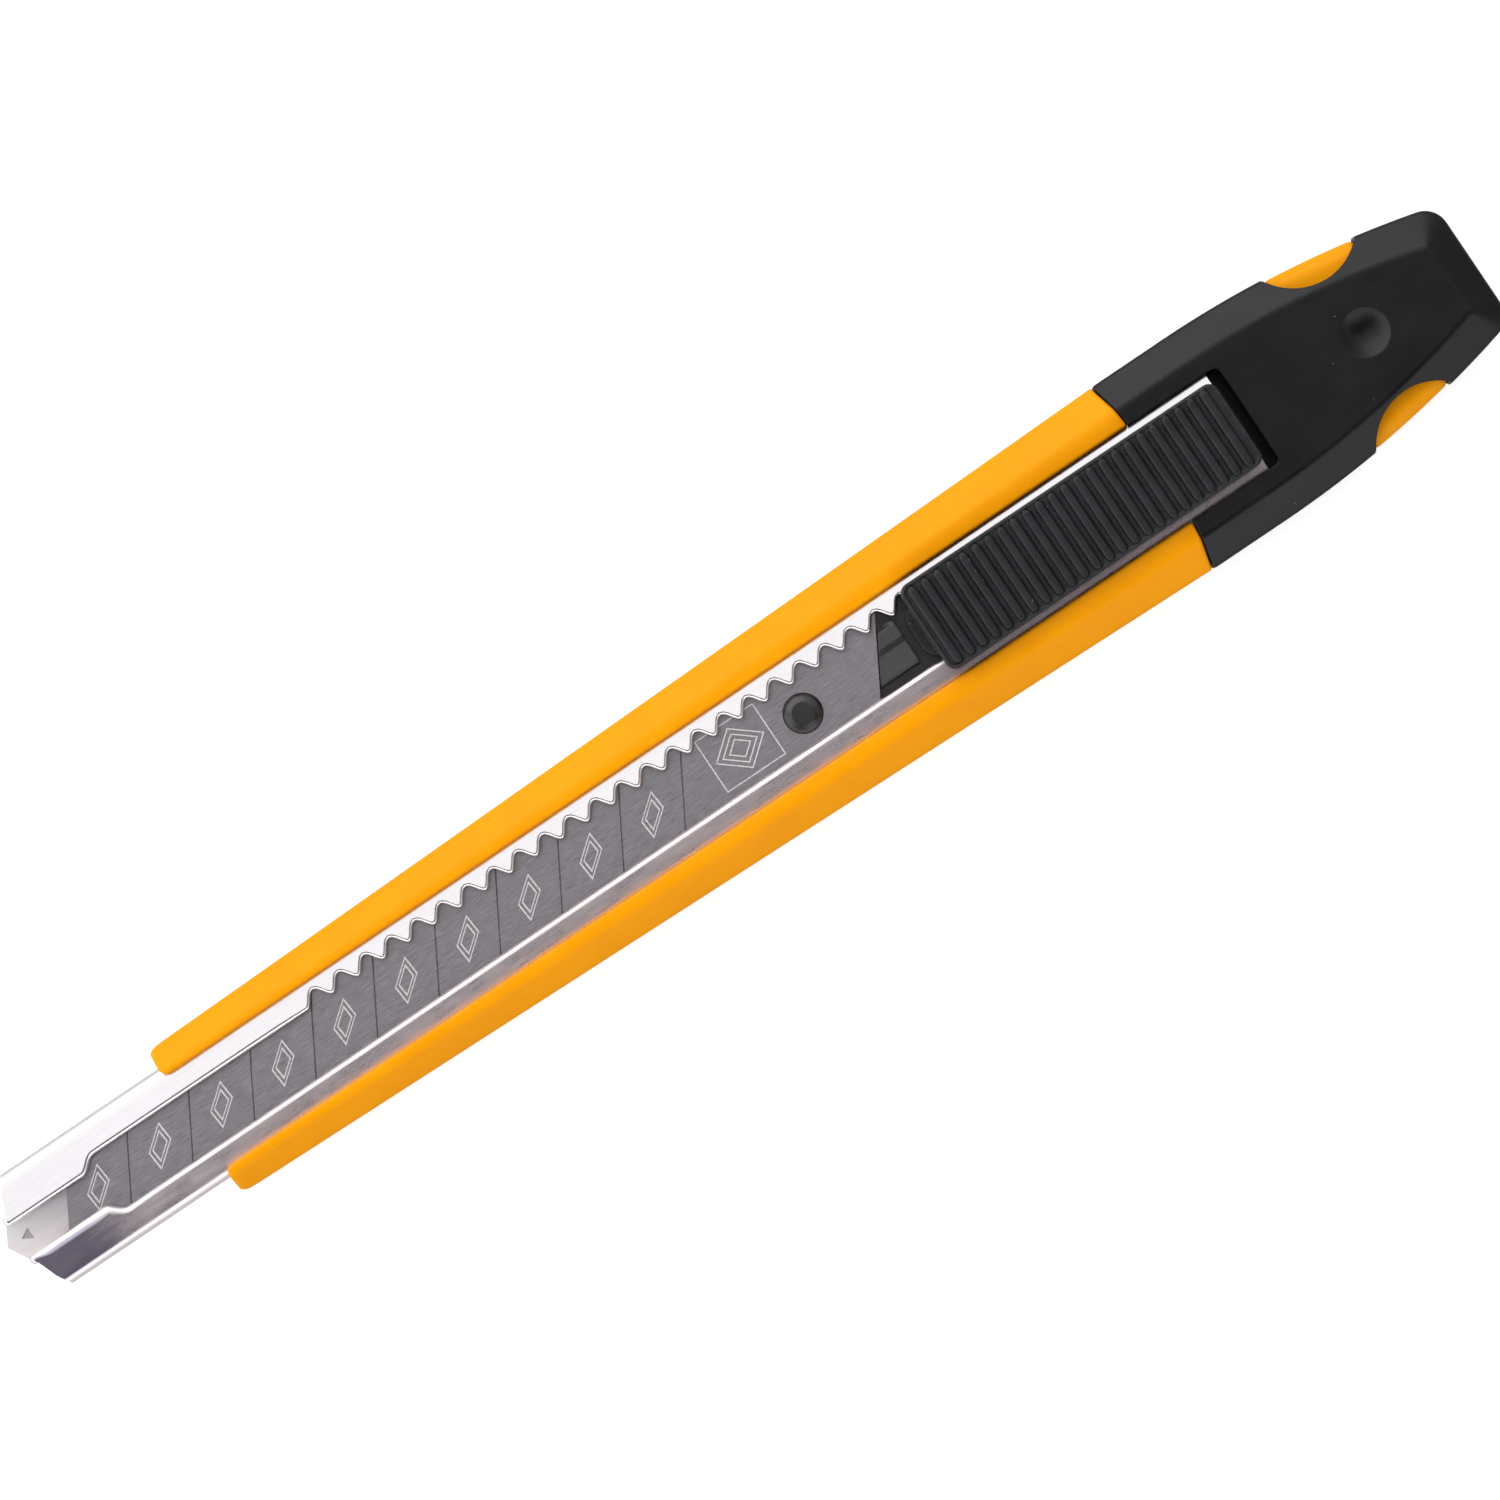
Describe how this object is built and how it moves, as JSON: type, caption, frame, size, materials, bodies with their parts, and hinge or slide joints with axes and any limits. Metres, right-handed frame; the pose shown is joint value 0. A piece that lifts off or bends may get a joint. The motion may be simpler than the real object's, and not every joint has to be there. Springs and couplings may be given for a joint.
{
  "type": "utility knife",
  "caption": "Slim snap-off utility knife with a scored blade in a steel channel, auto-lock thumb slide and clip-on tail cover.",
  "frame": {"origin": "on the flat underside, below the middle of the knife's length and width", "axes": "+X towards the blade's tip, +Y towards the side of the cutting edge, +Z out of the side with the thumb slide"},
  "size_m": [0.144, 0.0178, 0.0093],
  "materials": {
    "orange_plastic": "moulded, satin to gloss",
    "bright_steel": "polished stainless sheet",
    "blade_steel": "fine brushing along the blade",
    "carrier_plastic": "moulded, glossy",
    "spring_steel": "rolled strip",
    "slide_plastic": "moulded, satin, rubbed edges",
    "cover_plastic": "moulded, fine satin"
  },
  "bodies": {
    "body": {"handle": "orange_plastic", "channel": "bright_steel"},
    "carrier": {"blade_carrier": "carrier_plastic", "blade": "blade_steel", "lock_spring": "spring_steel"},
    "slide": {"thumb_slide": "slide_plastic"},
    "cover": {"tail_cover": "cover_plastic"},
    "left_latch": {"latch_left": "orange_plastic"},
    "right_latch": {"latch_right": "orange_plastic"}
  },
  "joints": [
    {"name": "blade_slide", "type": "slide", "parent": "body", "child": "carrier", "axis": [1, 0, 0], "range_m": [0, 0.065], "deforming": ["lock_spring"]},
    {"name": "unlock_play", "type": "slide", "parent": "carrier", "child": "slide", "axis": [1, 0, 0], "range_m": [-0.0007, 0.0007], "stiffness_N_per_m": 400},
    {"name": "cover_pull", "type": "slide", "parent": "body", "child": "cover", "axis": [-1, 0, 0], "range_m": [0, 0.035], "deforming": ["latch_left", "latch_right"]},
    {"name": "left_latch_press", "type": "hinge", "parent": "body", "child": "left_latch", "pos_m": [-0.0479, 0.00645, 0.0035], "axis": [0, 0, 1], "range_deg": [0, 6], "stiffness_Nm_per_rad": 0.05},
    {"name": "right_latch_press", "type": "hinge", "parent": "body", "child": "right_latch", "pos_m": [-0.0479, -0.00645, 0.0035], "axis": [0, 0, -1], "range_deg": [0, 6], "stiffness_Nm_per_rad": 0.05}
  ]
}
